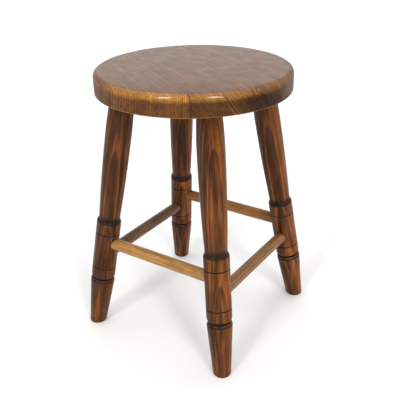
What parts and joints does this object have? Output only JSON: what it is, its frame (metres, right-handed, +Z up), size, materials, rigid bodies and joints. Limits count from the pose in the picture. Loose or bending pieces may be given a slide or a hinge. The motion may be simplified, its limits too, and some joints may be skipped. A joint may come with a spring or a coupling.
{
  "type": "milking stool",
  "caption": "Low wooden stool: a round plank seat with a rounded edge on splayed, turned legs joined low down by plain dowel stretchers.",
  "frame": {"origin": "on the floor, under the middle of the seat", "axes": "+Z up, -Y to the front, +X to the right as seen from the front"},
  "size_m": [0.3, 0.3, 0.437],
  "materials": {
    "seat_narrow_board": "satin lacquer over brown stain",
    "seat_wide_board": "satin lacquer over brown stain",
    "turned_leg": "satin lacquer over dark brown stain, grooves nearly black",
    "pale_dowel": "thin satin lacquer",
    "brown_dowel": "satin lacquer over brown stain",
    "dark_dowel": "satin lacquer over dark brown stain"
  },
  "bodies": {
    "root": {"seat_narrow_board": "seat_narrow_board", "seat_wide_board": "seat_wide_board", "front_left_leg": "turned_leg", "front_right_leg": "turned_leg", "back_right_leg": "turned_leg", "back_left_leg": "turned_leg", "front_stretcher": "pale_dowel", "right_stretcher": "brown_dowel", "back_stretcher": "brown_dowel", "left_stretcher": "dark_dowel"}
  },
  "joints": []
}
